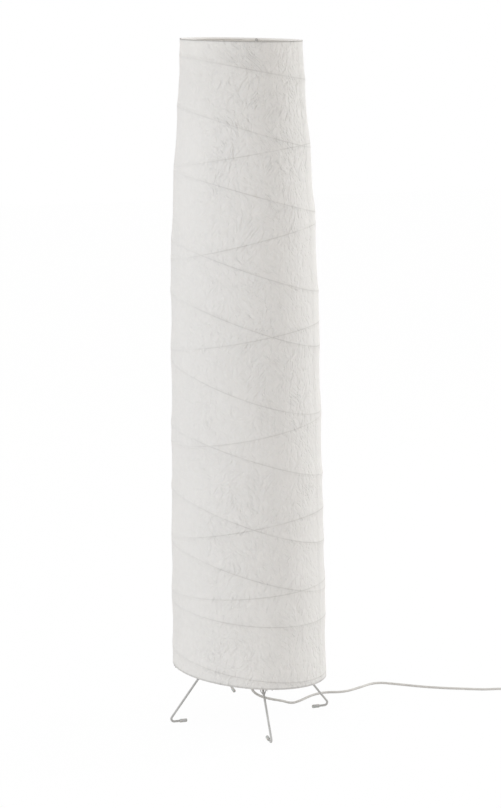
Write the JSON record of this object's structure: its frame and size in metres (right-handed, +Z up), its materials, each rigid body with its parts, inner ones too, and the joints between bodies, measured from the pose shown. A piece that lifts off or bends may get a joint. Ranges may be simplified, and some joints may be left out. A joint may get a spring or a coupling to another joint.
{
  "type": "paper lantern floor lamp",
  "caption": "Tall tapering white paper lantern over crossed slanting ribs, on a low wire stand with a lamp holder, mains cord, rocker switch and plug.",
  "frame": {"origin": "on the floor, on the upright axis through the lamp holder and the crossing of the four leg wires", "axes": "+Z up along the lamp; +X to the right leg, +Y to the back leg; the four feet stand on the X and Y axes"},
  "size_m": [0.8894, 0.3356, 1.3665],
  "materials": {
    "bamboo": "satin",
    "brass": "satin",
    "ceramic": "matte",
    "holder_plastic": "matte",
    "nickel": "polished",
    "opal_glass": "opal",
    "paper": "matte translucent",
    "soft_plastic": "matte",
    "white_plastic": "satin",
    "white_steel": "satin",
    "zinc_steel": "satin"
  },
  "bodies": {
    "stand": {"centre_contact": "brass", "coil_tie": "soft_plastic", "cord_coil": "soft_plastic", "cord_end": "soft_plastic", "cord_free": "soft_plastic", "cord_grip": "holder_plastic", "cord_middle": "soft_plastic", "foot_cap_back": "soft_plastic", "foot_cap_front": "soft_plastic", "foot_cap_left": "soft_plastic", "foot_cap_right": "soft_plastic", "holder_block": "ceramic", "holder_cup": "holder_plastic", "holder_skirt": "holder_plastic", "hub_plate": "white_steel", "leg_back": "white_steel", "leg_front": "white_steel", "leg_left": "white_steel", "leg_right": "white_steel", "nipple": "zinc_steel", "nipple_nut": "zinc_steel", "plug_body": "white_plastic", "plug_pins": "brass", "plug_relief": "soft_plastic", "ring_tab_back": "white_steel", "ring_tab_front": "white_steel", "ring_tab_left": "white_steel", "ring_tab_right": "white_steel", "screw_shell": "brass", "switch_base": "white_plastic", "switch_cover": "white_plastic", "switch_relief_in": "soft_plastic", "switch_relief_out": "soft_plastic", "upright_arm_back": "white_steel", "upright_arm_front": "white_steel", "upright_rod_back": "white_steel", "upright_rod_front": "white_steel", "upright_socket_back": "white_steel", "upright_socket_front": "white_steel"},
    "shade": {"bottom_ring": "white_steel", "paper_tube": "paper", "ribs_inner": "bamboo", "ribs_outer": "bamboo", "top_ring": "white_steel"},
    "bulb_shift": {"bulb_tip": "nickel"},
    "bulb": {"bulb_cap": "nickel", "bulb_globe": "opal_glass"},
    "rocker": {"switch_rocker": "white_plastic"}
  },
  "joints": [
    {"name": "shade_lift", "type": "slide", "parent": "stand", "child": "shade", "axis": [0, 0, 1], "range_m": [0, 1.3]},
    {"name": "bulb_rise", "type": "slide", "parent": "stand", "child": "bulb_shift", "axis": [0, 0, 1], "range_m": [0, 0.0218]},
    {"name": "bulb_turn", "type": "hinge", "parent": "bulb_shift", "child": "bulb", "pos_m": [0, 0, 0.15], "axis": [0, 0, 1], "range_deg": [0, 2160]},
    {"name": "switch_rock", "type": "hinge", "parent": "stand", "child": "rocker", "pos_m": [0.60235, -0.04575, 0.0095], "axis": [0.3746, 0.9272, 0], "range_deg": [0, 14]}
  ],
  "couplings": [
    {"joint": "bulb_rise", "follows": "bulb_turn", "m_per_rad": 0.00057757}
  ]
}
